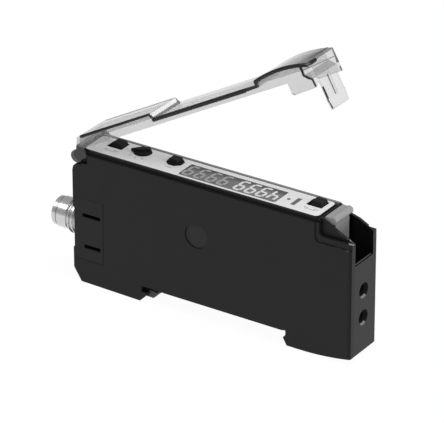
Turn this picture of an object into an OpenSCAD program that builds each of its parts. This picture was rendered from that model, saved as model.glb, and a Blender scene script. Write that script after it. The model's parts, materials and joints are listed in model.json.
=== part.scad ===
// Rail mounted fibre optic sensor amplifier with a hinged dust cover.
// Millimetres. Origin at the centre of the rail seat, +X to the fibre end, +Z up, front side towards -Y.

/* [Housing] */
// rail centre to the connector end
left_len = 37.05; // [36.6:0.05:39]
// rail centre to the fibre end
right_len = 33.6; // [33.4:0.1:36]
// depth across the two broad sides
body_w = 10; // [9.8:0.1:11]
// height of the deck above the rail seat
deck_h = 28.2; // [28:0.1:31]
// depth of the feet below the rail seat
foot_h = 3.3; // [3.2:0.1:3.8]
// thickness of the broad side walls
wall_t = 1.45; // [1.35:0.05:1.5]
// radius of the upright corners
corner_r = 0.3; // [0.2:0.1:0.8]
// thickness of the top plate
plate_t = 0.5; // [0.4:0.05:0.6]

/* [Rail mount] */
// width of the mounting rail
rail_w = 35; // [34.8:0.1:35.2]
// thickness of the rail flange
rail_t = 1; // [0.9:0.05:1.1]
// overlap of the fixed hook under the rail
hook_grip = 0.5; // [0.4:0.05:0.6]
// overlap of the sprung clip under the rail
clip_grip = 1.2; // [1:0.1:1.3]
// travel of the sprung clip
clip_travel = 1.6; // [1.3:0.1:1.8]

/* [Controls] */
// centre line of the knobs, measured from the middle of the deck
knob_y = 1.1; // [0.9:0.05:1.15]
// height of the knobs above the plate
knob_h = 1; // [0.7:0.1:1.2]
// side of the square switch windows
switch_w = 3.8; // [3.6:0.1:4]
// diameter of the round selector
selector_d = 3.7; // [3.3:0.1:3.8]
// width of the eight-sided button
button_w = 3.4; // [3:0.1:3.6]
// travel of the slide switches
slide_travel = 0.8; // [0.6:0.1:0.9]
// travel of the button
button_travel = 0.4; // [0.3:0.05:0.45]
// length of the display window
display_len = 24.4; // [22:0.1:24.6]
// width of the display window
display_w = 5.1; // [4.8:0.1:5.3]

/* [Fibre clamp] */
// height of the upper fibre port
port_upper_z = 12.3; // [12:0.1:12.6]
// height of the lower fibre port
port_lower_z = 5.9; // [5.7:0.1:6.1]
// diameter of the fibre ports
port_d = 2.3; // [2.2:0.05:2.4]
// height of the lever pivot
lever_z = 18.5; // [18.3:0.1:18.7]
// diameter of the lever pin
pin_d = 1.5; // [1.3:0.1:1.6]

/* [Connector] */
// height of the connector axis
conn_z = 9.5; // [9.2:0.1:9.8]
// diameter of the threaded ring
thread_d = 8; // [7.8:0.1:8.2]
// length of the threaded ring
thread_len = 3.15; // [2.8:0.05:3.5]

/* [Dust cover] */
// opening of the cover as drawn, in degrees
cover_open = 29; // [0:0.5:60]
// wall thickness of the cover
cover_t = 0.5; // [0.45:0.05:0.6]
// height of the raised left part above the deck
cover_rise = 2.45; // [2.4:0.05:2.8]
// radius of the hinge stubs
stub_r = 0.75; // [0.65:0.05:0.8]

/* [Hidden] */
$fn = 48;
e = 0.02;
fit = 0.05;
slack = 0.2;

// main edges
x_l = -left_len;
x_r = right_len;
half = body_w / 2;
cav = half - wall_t;
deck = deck_h;
plate_top = deck + plate_t;
deck_half = half - 0.8;
ledge_z = deck - 0.6;
floor_z = 1.6;
roof_z = deck - 1.6;
end_wall_x = x_l + 2.3;

// deck ends and hinge notch
notch_x = x_l + 2.45;
notch_z = deck - 3.3;
deck_x1 = x_r - 8.4;
bay_x1 = deck_x1 - 0.8;

// top plate and controls along it
plate_x0 = notch_x + 0.3;
plate_x1 = deck_x1 - 0.6;
plate_y0 = -deck_half + 0.15;
plate_y1 = deck_half - 0.8;
d_x = plate_x1 - 3.15;
bar_x = d_x - 4.2;
lamp_x = d_x - 6.15;
display_x1 = d_x - 7.75;
display_x0 = display_x1 - display_len;
display_y = -0.5;
c_x = display_x0 - 3.5;
a_x = plate_x0 + 5.3;
b_x = a_x + 0.432 * (c_x - a_x);
lamp_r = 0.4;
bar_half = 0.5;
bar_y0 = display_y - 1.85;
bar_y1 = display_y + 1.55;
digit_w = 2.5;
digit_l = display_w - 1.2;
digit_t = 0.1;
block_rim = 0.4;
block_top = deck - 0.05;
block_mid = (display_x0 + display_x1) / 2;

// caps of the controls
switch_y = 3.25;
knob_top = plate_top + knob_h;
slider_z0 = deck - 0.6;
slider_z1 = deck - 0.1;
slider_half = (switch_w + slide_travel) / 2;
slider_y = switch_y / 2 + 0.12;
grip_half = (switch_w - slide_travel) / 2 - 0.15;
grip_y = switch_y / 2 - slack;
grip_taper = 0.3;
stem_half = 0.6;
stem_y = 0.8;
pointer_angle = 33;
pointer_tip = selector_d / 2 + 0.65;
selector_z0 = roof_z - 0.2;
button_base = roof_z - 0.95;

// boards
board_t = 1;
dboard_z = deck - 7;
dboard_top = dboard_z + board_t;
mboard_y0 = cav - 1.85;
mboard_y1 = mboard_y0 + board_t;
mboard_x0 = end_wall_x + 6.8;
mboard_x1 = display_x1 - 1.3;
mboard_z0 = floor_z + 0.6;
mboard_z1 = dboard_z - 1.6;
dboard_x0 = notch_x + 2;
oboard_x1 = mboard_x1 + board_t;
oboard_top = port_upper_z + 3;
optics_top = port_upper_z + 3.4;
can_r = 1.5;
can_len = 2.2;
chip_w = 9;
chip_x1 = mboard_x1 - 12.4;
chip_z0 = conn_z - 3;
chip_t = 1.2;
chip_dot = 0.5;
cap_x = mboard_x1 - 6.4;
cap_r = 2.2;
header_len = 14;
header_h = 3;
header_t = 2.4;
terminal_len = 3.7;
terminal_half = 3;
plunger_h = button_base - button_travel - 0.15 - dboard_top;
switch_half = 2.1;
switch_back = min(knob_y + switch_half, cav - fit);
shaft_r = 0.8;
shaft_z = dboard_top + 1.2;
post_r = 1.2;
shelf_len = 3;

// rail hooks and clip
rail_half = rail_w / 2;
seat_x0 = -rail_half + 1.5;
seat_x1 = rail_half - 0.7;
relief = 0.15;
hook_x = rail_half + 0.05;
hook_tip = rail_half - hook_grip;
hook_z = -rail_t - 0.45;
slot_x = -rail_half - 1.7;
left_tip = -rail_half - 0.5;
foot_drop = 0.3;
sole_x = rail_half + 3.5;
sole_rise = 1.25;
clip_tip = -rail_half + clip_grip;
clip_z = -rail_t - 0.3;
pocket_x0 = x_l + 2.6;
spring_n = 4;
spring_t = 0.35;
spring_half = 1.8;
spring_stack = (spring_n + 1) * spring_t + 1.6;
clip_rear = pocket_x0 + spring_stack + clip_travel;
pocket_z = -rail_t - 0.05;
tongue_z0 = -foot_h + 0.85;
tongue_z1 = -rail_t - 0.75;

// round mark on the front panel, and the end cap with its latch slots
mark_x = display_x0 + 5.7;
mark_z = deck - 12.1;
mark_r = 2.85;
mark_t = 0.25;
cap_len = 8.1;
cap_z0 = 2.1;
cap_z1 = 17;
latch_x0 = x_l + 2.6;
latch_x1 = x_l + 7.25;
latch_h = 0.9;
latch_upper_z = conn_z + 3.1;
latch_lower_z = conn_z - 4.4;

// fibre end
cheek_top = deck + 0.45;
cheek_x = x_r - 7.8;
cheek_z = deck - 3.25;
back_cheek_x = deck_x1 + 1.1;
back_cheek_z = deck - 0.7;
back_cheek_end = deck - 3;
flap_x = x_r - 8.15;
flap_z = deck - 3.5;
flap_r = 0.8;
rim_w = 0.95;
rim_drop = 1.4;
rim_t = 0.25;
groove_y = deck_half - 0.28;
pad_x = flap_x + 1.4;
pad_z = flap_z + 0.6;
lip_z = lever_z + 0.8;
lip_x = x_r - 0.75;
shoe_x1 = x_r - 4.2;
anvil_z = port_lower_z - port_d / 2;
port_r = port_d / 2;
well_z = port_upper_z + port_r + 1.2;
lead_r = 1.8;
lead_len = 0.7;

// clamp lever and shoe
lever_x = deck_x1 + 1.8;
lever_half = cav - 0.17;
web_half = lever_half - 0.7;
pin_r = pin_d / 2;
hub_r = pin_r + 0.5;
lobe_off = hub_r - 0.35;
lobe_r = 0.8;
lobe_low = lever_z - lobe_off - lobe_r;
shoe_top = lobe_low - 0.15;
bar_z0 = deck - 0.9;
bar_z1 = deck + 0.65;
bar_x0 = lever_x - 1.2;
roll_r = 0.85;
roll_x = lever_x + 0.9;
roll_z = deck + 0.02;

// connector along its axis
flange_x = x_l + 0.45;
groove_x = flange_x - thread_len;
collar_x = groove_x - 0.5;
groove2_x = collar_x - 2.5;
tip_x = groove2_x - 1.4;
thread_r = thread_d / 2;
socket_r = thread_r - 1.3;
neck_r = 2.6;
tail_r = 1.9;
seat_x = flange_x - 1.7;
seal_t = 0.4;
nut_h = 1.6;
nut_x1 = end_wall_x + seal_t + nut_h + slack;
pin_ring = 1.35;
cpin_r = 0.38;
recess_half = thread_r + 0.95;

// dust cover
pivot_x = x_l + 1.3;
pivot_z = deck - 1.5;
lug_r = 1.35;
lug_half = deck_half - 0.1;
barrel_r = lug_r + 0.1;
arm_r = barrel_r + 1.15;
arm_drop = 1;
arm_gap = 0.3;
cov_half = half - 0.05;
cov_in = cov_half - cover_t;
cov_x0 = pivot_x + 0.57;
cov_x1 = x_r - 1.05;
skirt_z = ledge_z + 0.25;
top_z = deck + cover_rise;
hollow_z = plate_top + slack;
mid_z = hollow_z + cover_t;
riser1_x = c_x + 2.5;
riser2_x = d_x - 3.65;
riser_lean = 0.3;
end_lean = 33;
end_r = 0.6;
bulge_r = 31;
bulge_x = (riser2_x + cov_x1) / 2;
bulge_z = top_z + 0.65;
flap_low = flap_z + 0.35;
thick_x = cov_x1 - 2;
thick_z = deck + 0.15;
wall_low = cheek_z + 1;
tab_half = cav - 0.35;
tab_low = lip_z + slack;
tab_barb = 0.22;
rib_half = 0.35;
rib_t = 0.25;

// node to draw

// upright slab from y0 to y1 with its outline drawn in X and Z
module slab(y0, y1) {
    translate([0, y1, 0]) rotate([90, 0, 0]) linear_extrude(y1 - y0) children();
}

// box between two corners
module box(x0, x1, y0, y1, z0, z1) {
    translate([x0, y0, z0]) cube([x1 - x0, y1 - y0, z1 - z0]);
}

// round bar along X
module bar_x_dir(x0, x1, y, z, r) {
    translate([x0, y, z]) rotate([0, 90, 0]) cylinder(r = r, h = x1 - x0);
}

// round bar along Y
module bar_y_dir(y0, y1, x, z, r) {
    translate([x, y1, z]) rotate([90, 0, 0]) cylinder(r = r, h = y1 - y0);
}

// rectangle with rounded corners
module round_rect(x0, x1, y0, y1, r) {
    translate([x0 + r, y0]) square([x1 - x0 - 2 * r, y1 - y0]);
    translate([x0, y0 + r]) square([x1 - x0, y1 - y0 - 2 * r]);
    for (x = [x0 + r, x1 - r])
        for (y = [y0 + r, y1 - r])
            translate([x, y]) circle(r);
}

// curved sole under the fibre end, at a share of its length
function sole(t) = [sole_x + (x_r - sole_x) * t, -foot_h + sole_rise * t * t];

// outline of the whole body seen from the front
module body_outline() {
    polygon(concat([
        [x_l, 0],
        [x_l, notch_z - 2.9],
        [x_l + 0.1, notch_z - 1.7],
        [x_l + 0.4, notch_z - 0.6],
        [x_l + 1, notch_z],
        [notch_x, notch_z],
        [notch_x, deck],
        [deck_x1, deck],
        [deck_x1, cheek_top],
        [cheek_x, cheek_top],
        [x_r - 0.6, cheek_z],
        [x_r, cheek_z - 0.3]],
        [for (i = [8:-1:0]) sole(i / 8)], [
        [hook_x + 0.4, -foot_h],
        [hook_x + 0.25, -foot_h + 0.15],
        [hook_tip, hook_z - 0.3],
        [hook_tip, hook_z],
        [hook_x, hook_z + 0.45],
        [hook_x, relief],
        [seat_x1, relief],
        [seat_x1, 0],
        [seat_x0, 0],
        [seat_x0, relief],
        [slot_x, relief],
        [slot_x, clip_z],
        [left_tip, clip_z - 0.1],
        [left_tip, clip_z - 0.7],
        [left_tip - 1.6, -foot_h - foot_drop],
        [x_l + 2.1, -foot_h]]));
}

module body_solid() {
    intersection() {
        slab(-half, half) body_outline();
        translate([0, 0, -foot_h - 1])
            linear_extrude(deck + foot_h + 5) round_rect(x_l, x_r, -half, half, corner_r);
    }
}

// corner of the cover flap recess, drawn from its left and lower edges
module flap_corner(x, z, r) {
    translate([x + r, z]) square([x_r, 10]);
    translate([x, z + r]) square([x_r, 10]);
    translate([x + r, z + r]) circle(r);
}

// pad left standing in the flap recess
module flap_pad() {
    polygon([
        [pad_x, cheek_top],
        [pad_x, pad_z + 2],
        [pad_x + 0.6, pad_z + 1],
        [x_r - 1, pad_z],
        [x_r + 1, pad_z],
        [x_r + 1, cheek_top]]);
}

// room for a cover arm to swing about the hinge
module arm_room() {
    translate([pivot_x, pivot_z]) circle(barrel_r + arm_gap);
    intersection() {
        translate([pivot_x, pivot_z]) circle(arm_r + arm_gap);
        translate([pivot_x, pivot_z - arm_drop - arm_gap]) square(arm_r * 2);
    }
}

// cuts shared by both broad sides: cover ledge, flap recess, arm room, clip groove and pin seat
module side_cuts() {
    for (s = [-1, 1]) {
        y0 = s < 0 ? -half - 1 : deck_half;
        y1 = s < 0 ? -deck_half : half + 1;
        box(notch_x - 1, flap_x + e, y0, y1, ledge_z, cheek_top + 1);
        slab(y0, y1) {
            flap_corner(flap_x, flap_z, flap_r);
            arm_room();
        }
        slab(s < 0 ? y0 : half - rim_t, s < 0 ? -half + rim_t : y1)
            flap_corner(flap_x - rim_w, flap_z - rim_drop, flap_r + 0.2);
        slab(s < 0 ? y0 : groove_y, s < 0 ? -groove_y : y1) difference() {
            flap_corner(flap_x, flap_z, flap_r);
            flap_pad();
        }
    }
    box(pocket_x0 + 1.8, slot_x - 1.3, -cav - 0.55, cav + 0.55, tongue_z0 - slack, tongue_z1 + slack);
    bar_y_dir(-cav - 0.8, cav + 0.8, lever_x, lever_z, pin_r);
}

// opening that the connector end cap closes
module cap_opening(gap) {
    box(x_l - 1, x_l + cap_len - gap, -half - 1, half + 1, cap_z0 + gap, cap_z1 - gap);
}

// windows through the deck and the plate
module switch_window(x, z0, z1) {
    box(x - switch_w / 2, x + switch_w / 2, knob_y - switch_y / 2, knob_y + switch_y / 2, z0, z1);
}

module button_prism(r_grow, z0, z1) {
    translate([c_x, knob_y, z0]) rotate([0, 0, 22.5])
        cylinder(r = (button_w / 2 + r_grow) / cos(22.5), h = z1 - z0, $fn = 8);
}

module control_windows(z0, z1) {
    translate([b_x, knob_y, z0]) cylinder(r = selector_d / 2 + slack, h = z1 - z0);
    button_prism(slack, z0, z1);
    translate([lamp_x, display_y, z0]) cylinder(r = lamp_r, h = z1 - z0);
    box(bar_x - bar_half, bar_x + bar_half, bar_y0, bar_y1, z0, z1);
}

// slot for the stem and pocket for the base of a slide knob
module slider_cuts(x) {
    box(x - slider_half - slide_travel / 2 - slack / 2, x + slider_half + slide_travel / 2 + slack / 2,
        knob_y - slider_y - slack / 2, knob_y + slider_y + slack / 2, slider_z0 - slack / 2, deck + 1);
    box(x - stem_half - slide_travel / 2 - slack, x + stem_half + slide_travel / 2 + slack,
        knob_y - stem_y - slack, knob_y + stem_y + slack, roof_z - 1, deck + 1);
}

module display_rect(z0, z1, inset) {
    box(display_x0 + inset, display_x1 - inset, display_y - display_w / 2 + inset,
        display_y + display_w / 2 - inset, z0, z1);
}

module housing_case() {
    color([0.03, 0.03, 0.03]) {
        difference() {
            union() {
                intersection() {
                    body_solid();
                    box(x_l - 1, x_r + 1, -cav, half + 1, -foot_h - 1, deck + 4);
                }
                hinge_lug();
            }
            box(end_wall_x, notch_x + 3, -cav - 1, cav, floor_z, notch_z - 1.6);
            box(notch_x + 1.2, bay_x1, -cav - 1, cav, floor_z, roof_z);
            cap_opening(0);
            control_windows(roof_z - 1, deck + 1);
            slider_cuts(a_x);
            slider_cuts(d_x);
            display_rect(roof_z - 1, deck + 1, 0.3);
            box(deck_x1, x_r + 1, -cav - 1, cav, lip_z, deck + 4);
            box(deck_x1, shoe_x1, -cav - 1, cav, anvil_z, lip_z + 1);
            box(shoe_x1 - e, lip_x, -cav - 1, cav, well_z, lip_z + 1);
            slab(cav - e, half + 1) polygon([
                [back_cheek_x, cheek_top + 1], [back_cheek_x, back_cheek_z],
                [x_r + 1, back_cheek_end], [x_r + 1, cheek_top + 1]]);
            for (z = [port_upper_z, port_lower_z]) {
                bar_x_dir(shoe_x1 - e, x_r + 1, 0, z, port_r);
                bar_x_dir(bay_x1 - e, deck_x1 + e, 0, z, port_r + 0.15);
                translate([x_r - lead_len, 0, z]) rotate([0, 90, 0])
                    cylinder(r1 = port_r, r2 = lead_r, h = lead_len + e);
            }
            box(pocket_x0, left_tip + 1, -cav - 1, cav, -foot_h - 1, pocket_z);
            side_cuts();
        }
        case_posts();
    }
}

// lug between the cover arms, bored for the hinge stubs
module hinge_lug() {
    difference() {
        union() {
            bar_y_dir(-lug_half, lug_half, pivot_x, pivot_z, lug_r);
            box(pivot_x - 0.6, notch_x + e, -cav, lug_half, notch_z - e, pivot_z + 0.6);
        }
        bar_y_dir(-lug_half - 1, -lug_half + 1.6, pivot_x, pivot_z, stub_r + fit);
        bar_y_dir(lug_half - 1.6, lug_half + 1, pivot_x, pivot_z, stub_r + fit);
    }
}

// posts behind the main board and shelves under the display board
module case_posts() {
    mid_x = (mboard_x0 + mboard_x1) / 2;
    for (x = [mboard_x0 + 3, mid_x, mboard_x1 - 3])
        bar_y_dir(mboard_y1, cav + e, x, mboard_z0 + 3, post_r);
    for (x = [mboard_x0, mid_x, bay_x1 - shelf_len - 1])
        box(x, x + shelf_len, mboard_y1 + fit, cav + e, dboard_z - 1.4, dboard_z);
}

module side_panel() {
    color([0.03, 0.03, 0.03]) difference() {
        intersection() {
            body_solid();
            box(x_l - 1, x_r + 1, -half - 1, -cav, -foot_h - 1, deck + 4);
        }
        cap_opening(0);
        side_cuts();
        bar_y_dir(-half - 1, 0, pivot_x, pivot_z, lug_r + fit);
        bar_y_dir(-half - 1, -half + mark_t, mark_x, mark_z, mark_r);
    }
}

module connector_end_cap() {
    color([0.03, 0.03, 0.03]) difference() {
        intersection() {
            body_solid();
            cap_opening(fit);
        }
        box(end_wall_x, 0, -cav, cav, 0, deck);
        box(x_l - 1, flange_x, -half - 1, half + 1, conn_z - recess_half, conn_z + recess_half);
        bar_x_dir(x_l - 1, 0, 0, conn_z, neck_r);
        box(latch_x0, latch_x1, -half - 1, -cav + e, latch_upper_z, latch_upper_z + latch_h);
        box(latch_x0 + 0.4, latch_x1, -half - 1, -cav + e, latch_lower_z, latch_lower_z + latch_h);
    }
}

module top_plate() {
    color([0.75, 0.75, 0.75]) difference() {
        translate([0, 0, deck])
            linear_extrude(plate_t) round_rect(plate_x0, plate_x1, plate_y0, plate_y1, 1);
        control_windows(deck - 1, plate_top + 1);
        switch_window(a_x, deck - 1, plate_top + 1);
        switch_window(d_x, deck - 1, plate_top + 1);
        display_rect(deck - 1, plate_top + 1, 0);
    }
}

module display_window() {
    color([0.15, 0.15, 0.16]) display_rect(deck, plate_top - 0.05, 0);
}

// one four-digit block with a rim around its face
module digit_block(x0, x1) {
    difference() {
        box(x0, x1, display_y - display_w / 2 + block_rim, display_y + display_w / 2 - block_rim,
            dboard_top, block_top);
        for (i = [0:3])
            translate([x0 + (i + 0.5) * (x1 - x0) / 4, display_y, block_top - digit_t])
                translate([-digit_w / 2, -digit_l / 2, 0]) cube([digit_w, digit_l, 1]);
    }
}

module display_left() {
    color([0.1, 0.1, 0.1]) digit_block(display_x0 + block_rim, block_mid - fit);
}

module display_right() {
    color([0.1, 0.1, 0.1]) digit_block(block_mid + fit, display_x1 - block_rim);
}

module display_board() {
    color([0.05, 0.25, 0.12])
        box(dboard_x0, bay_x1 - 0.3, -cav + 0.15, cav - fit, dboard_z, dboard_top);
}

module main_board() {
    color([0.05, 0.25, 0.12])
        box(mboard_x0, mboard_x1, mboard_y0, mboard_y1, mboard_z0, mboard_z1);
}

module optics_board() {
    color([0.05, 0.25, 0.12])
        box(mboard_x1, oboard_x1, -cav + slack, cav - slack, floor_z, oboard_top);
}

module processor_chip() {
    color([0.05, 0.05, 0.05]) difference() {
        box(chip_x1 - chip_w, chip_x1, mboard_y0 - chip_t, mboard_y0, chip_z0, chip_z0 + chip_w);
        bar_y_dir(mboard_y0 - 2 * chip_t, mboard_y0 - chip_t + 0.15,
            chip_x1 - chip_w + 2 * chip_dot, chip_z0 + chip_w - 2 * chip_dot, chip_dot);
    }
}

module capacitor() {
    color([0.6, 0.6, 0.62]) {
        bar_y_dir(-cav + 0.5, mboard_y0, cap_x, conn_z, cap_r);
        bar_y_dir(mboard_y0 - 0.6, mboard_y0, cap_x, conn_z, cap_r + 0.3);
    }
}

module board_header() {
    color([0.08, 0.08, 0.08])
        box(cap_x - header_len, cap_x, mboard_y0 - header_t, mboard_y0, dboard_z - header_h, dboard_z);
}

module terminal_block() {
    color([0.1, 0.35, 0.15])
        box(mboard_x0 + 0.3, mboard_x0 + 0.3 + terminal_len, -cav + 0.6, mboard_y0,
            conn_z - terminal_half, conn_z + terminal_half);
}

// four leads from the connector pins to the terminal block
module lead_wires() {
    color([0.45, 0.2, 0.1])
        for (a = [45:90:315])
            bar_x_dir(nut_x1 + 0.6, mboard_x0 + 0.3,
                pin_ring * cos(a), conn_z + pin_ring * sin(a), cpin_r + 0.1);
}

module connector_shell() {
    color([0.72, 0.72, 0.7]) translate([0, 0, conn_z]) rotate([0, 90, 0]) rotate_extrude()
        polygon([
            [socket_r, tip_x],
            [thread_r - 0.9, tip_x],
            [thread_r - 0.7, tip_x + 0.2],
            [thread_r - 0.7, groove2_x - 0.3],
            [thread_r - 1, groove2_x - 0.3],
            [thread_r - 1, groove2_x],
            [thread_r - 0.5, groove2_x],
            [thread_r - 0.5, collar_x],
            [thread_r - 0.9, collar_x],
            [thread_r - 0.9, groove_x],
            [thread_r, groove_x],
            [thread_r, flange_x],
            [neck_r, flange_x],
            [neck_r, nut_x1],
            [tail_r, nut_x1],
            [tail_r, seat_x],
            [socket_r, seat_x]]);
}

module connector_insert() {
    color([0.04, 0.04, 0.04]) difference() {
        union() {
            bar_x_dir(seat_x, nut_x1 + 0.2, 0, conn_z, tail_r);
            bar_x_dir(seat_x - 1.4, seat_x, 0, conn_z, socket_r);
        }
        connector_pin_bars();
    }
}

module connector_pin_bars() {
    for (a = [45:90:315])
        bar_x_dir(tip_x + 1.2, nut_x1 + 0.6, pin_ring * cos(a), conn_z + pin_ring * sin(a), cpin_r);
}

module connector_pins() {
    color([0.8, 0.65, 0.25]) connector_pin_bars();
}

module connector_nut() {
    color([0.7, 0.7, 0.68]) difference() {
        translate([end_wall_x + seal_t, 0, conn_z]) rotate([0, 90, 0])
            cylinder(r = cav - fit, h = nut_h, $fn = 6);
        bar_x_dir(end_wall_x, nut_x1 + 1, 0, conn_z, neck_r);
    }
}

module connector_seal() {
    color([0.1, 0.1, 0.1]) difference() {
        bar_x_dir(end_wall_x, end_wall_x + seal_t, 0, conn_z, cav - 0.1);
        bar_x_dir(end_wall_x - 1, nut_x1, 0, conn_z, neck_r);
    }
}

module power_lamp() {
    color([0.2, 0.7, 0.25]) {
        translate([lamp_x, display_y, dboard_top]) cylinder(r = lamp_r, h = plate_top - dboard_top);
        translate([lamp_x, display_y, dboard_top]) cylinder(r = lamp_r * 2, h = 2);
    }
}

module output_lamp() {
    color([0.8, 0.45, 0.1]) {
        box(bar_x - bar_half, bar_x + bar_half, bar_y0, bar_y1, dboard_top, plate_top);
        box(bar_x - bar_half - 0.2, bar_x + bar_half + 0.2, bar_y0, bar_y1, dboard_top, dboard_top + 2);
    }
}

// body of a slide switch on the display board
module slide_switch(x) {
    difference() {
        box(x - slider_half, x + slider_half, knob_y - switch_half, switch_back,
            dboard_top, roof_z - 0.05);
        box(x - stem_half - slide_travel / 2 - slack, x + stem_half + slide_travel / 2 + slack,
            knob_y - stem_y - slack, knob_y + stem_y + slack, dboard_top + 1.2, deck);
    }
}

// block with sides that lean in above the plate
module grip_block(x, x_half, y_half, z0) {
    intersection() {
        slab(knob_y - y_half, knob_y + y_half) polygon([
            [x - x_half, z0], [x + x_half, z0], [x + x_half, plate_top],
            [x + x_half - grip_taper, knob_top], [x - x_half + grip_taper, knob_top],
            [x - x_half, plate_top]]);
        translate([x - x_half, 0, 0]) rotate([90, 0, 90]) linear_extrude(2 * x_half) polygon([
            [knob_y - y_half, z0], [knob_y + y_half, z0], [knob_y + y_half, plate_top],
            [knob_y + y_half - grip_taper, knob_top], [knob_y - y_half + grip_taper, knob_top],
            [knob_y - y_half, plate_top]]);
    }
}

// knob of a slide switch at the right end of its travel
module slide_knob(x_mid) {
    x = x_mid + slide_travel / 2;
    box(x - slider_half, x + slider_half, knob_y - slider_y, knob_y + slider_y, slider_z0, slider_z1);
    grip_block(x, grip_half, grip_y, slider_z1 - e);
    box(x - stem_half, x + stem_half, knob_y - stem_y, knob_y + stem_y, dboard_top + 1.4, slider_z0 + e);
}

module output_switch() {
    color([0.06, 0.06, 0.06]) slide_switch(a_x);
}

module mode_switch() {
    color([0.06, 0.06, 0.06]) slide_switch(d_x);
}

module output_knob() {
    color([0.02, 0.02, 0.02]) slide_knob(a_x);
}

module mode_knob() {
    color([0.02, 0.02, 0.02]) slide_knob(d_x);
}

module selector_switch() {
    color([0.06, 0.06, 0.06]) difference() {
        box(b_x - switch_half, b_x + switch_half, knob_y - switch_half, switch_back,
            dboard_top, roof_z - 0.4);
        translate([b_x, knob_y, shaft_z - slack]) cylinder(r = shaft_r + fit, h = deck_h);
    }
}

module selector_knob() {
    color([0.02, 0.02, 0.02]) {
        translate([b_x, knob_y, shaft_z]) cylinder(r = shaft_r, h = deck - shaft_z);
        translate([b_x, knob_y, selector_z0])
            cylinder(r = selector_d / 2, h = knob_top - 0.5 - selector_z0);
        translate([b_x, knob_y, plate_top + slack]) rotate([0, 0, pointer_angle])
            linear_extrude(knob_top - plate_top - slack) polygon([
                [-pointer_tip, 0], [-selector_d / 4, -0.6], [selector_d / 2 - 0.3, -0.6],
                [selector_d / 2 - 0.3, 0.6], [-selector_d / 4, 0.6]]);
    }
}

module set_switch() {
    color([0.06, 0.06, 0.06]) {
        box(c_x - switch_half, c_x + switch_half, knob_y - switch_half, switch_back,
            dboard_top, roof_z - 2);
        translate([c_x, knob_y, dboard_top]) cylinder(r = 1, h = plunger_h);
    }
}

module set_button() {
    color([0.02, 0.02, 0.02]) {
        button_prism(0, button_base + e, plate_top + 0.3);
        grip_block(c_x, button_w / 2 - 0.4, button_w / 2 - 0.45, deck);
        translate([c_x, knob_y, button_base]) cylinder(r = button_w / 2 + 0.3, h = 0.6);
    }
}

// guide block that carries both fibres to the optics
module optics_block() {
    color([0.12, 0.12, 0.12]) difference() {
        box(oboard_x1, bay_x1, -cav, cav - 0.1, floor_z, optics_top);
        for (z = [port_upper_z, port_lower_z]) {
            bar_x_dir(mboard_x1, bay_x1 + 1, 0, z, port_r);
            bar_x_dir(mboard_x1, oboard_x1 + can_len + 1.4, 0, z, can_r);
        }
        box(oboard_x1 + 2, bay_x1 - 2, -cav - 1, cav,
            (port_upper_z + port_lower_z) / 2 - 0.4, (port_upper_z + port_lower_z) / 2 + 0.4);
    }
}

// lamp body with a domed lens
module optic_can(z) {
    bar_x_dir(oboard_x1, oboard_x1 + can_len, 0, z, can_r);
    intersection() {
        translate([oboard_x1 + can_len, 0, z]) sphere(r = can_r - 0.4);
        bar_x_dir(oboard_x1 + can_len - slack, oboard_x1 + 2 * can_len, 0, z, can_r);
    }
}

module emitter() {
    color([0.7, 0.15, 0.12]) optic_can(port_upper_z);
}

module receiver() {
    color([0.15, 0.15, 0.2]) optic_can(port_lower_z);
}

module lever_pin() {
    color([0.7, 0.7, 0.7]) bar_y_dir(-cav - 0.8, cav + 0.8, lever_x, lever_z, pin_r);
}

// flat zigzag spring behind the rail clip
module clip_spring() {
    pitch = (clip_rear - fit - pocket_x0 - spring_t) / spring_n;
    bend = spring_half - spring_t;
    color([0.65, 0.65, 0.66]) {
        for (i = [0:spring_n])
            box(pocket_x0 + i * pitch, pocket_x0 + i * pitch + spring_t, -spring_half, spring_half,
                tongue_z0, tongue_z1);
        for (i = [0:spring_n - 1])
            box(pocket_x0 + i * pitch, pocket_x0 + (i + 1) * pitch + spring_t,
                i % 2 == 0 ? bend : -spring_half, i % 2 == 0 ? spring_half : -bend, tongue_z0, tongue_z1);
    }
}

// slanted hinge end of the cover at a height, moved in by a wall
function end_x(z, wall) = cov_x0 + (z - skirt_z) * tan(end_lean) + wall / cos(end_lean);

// raised hinge end with a rounded upper corner, down to a given level
module cover_end(wall, low) {
    r = end_r - wall / 2;
    z = top_z - wall - r;
    x = end_x(z, wall) + r / cos(end_lean);
    polygon([
        [end_x(low, wall), low],
        [x - r * cos(end_lean), z + r * sin(end_lean)],
        [x, z + r],
        [riser1_x - wall, z + r],
        [riser1_x + riser_lean - wall, low]]);
    translate([x, z]) circle(r);
}

// bulge over the lever with an arched top
module cover_bulge(wall) {
    translate([bulge_x, bulge_z - bulge_r]) circle(bulge_r - wall, $fn = 180);
}

module cover_outline() {
    cover_end(0, skirt_z);
    translate([riser1_x - 1, skirt_z]) square([riser2_x - riser1_x + 2, mid_z - skirt_z]);
    intersection() {
        cover_bulge(0);
        translate([riser2_x, skirt_z]) square([cov_x1 - riser2_x, 10]);
    }
    polygon([
        [flap_x + 0.3, skirt_z + e],
        [flap_x + 0.3, flap_low + 0.5],
        [flap_x + 0.8, flap_low],
        [cov_x1 - 0.3, flap_low + 0.2],
        [cov_x1, flap_low + 0.5],
        [cov_x1, skirt_z + e]]);
}

module cover_hollow() {
    cover_end(cover_t, hollow_z);
    translate([x_l - 1, 0]) square([riser1_x - x_l + 1, hollow_z + e]);
    translate([riser1_x - 1, 0]) square([riser2_x - riser1_x + 2, hollow_z]);
    intersection() {
        cover_bulge(cover_t);
        polygon([
            [riser2_x + cover_t, 0],
            [riser2_x + cover_t, top_z + 5],
            [thick_x, top_z + 5],
            [thick_x, thick_z],
            [cov_x1 - cover_t, thick_z - 1.3],
            [cov_x1 - cover_t, 0]]);
    }
}

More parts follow.
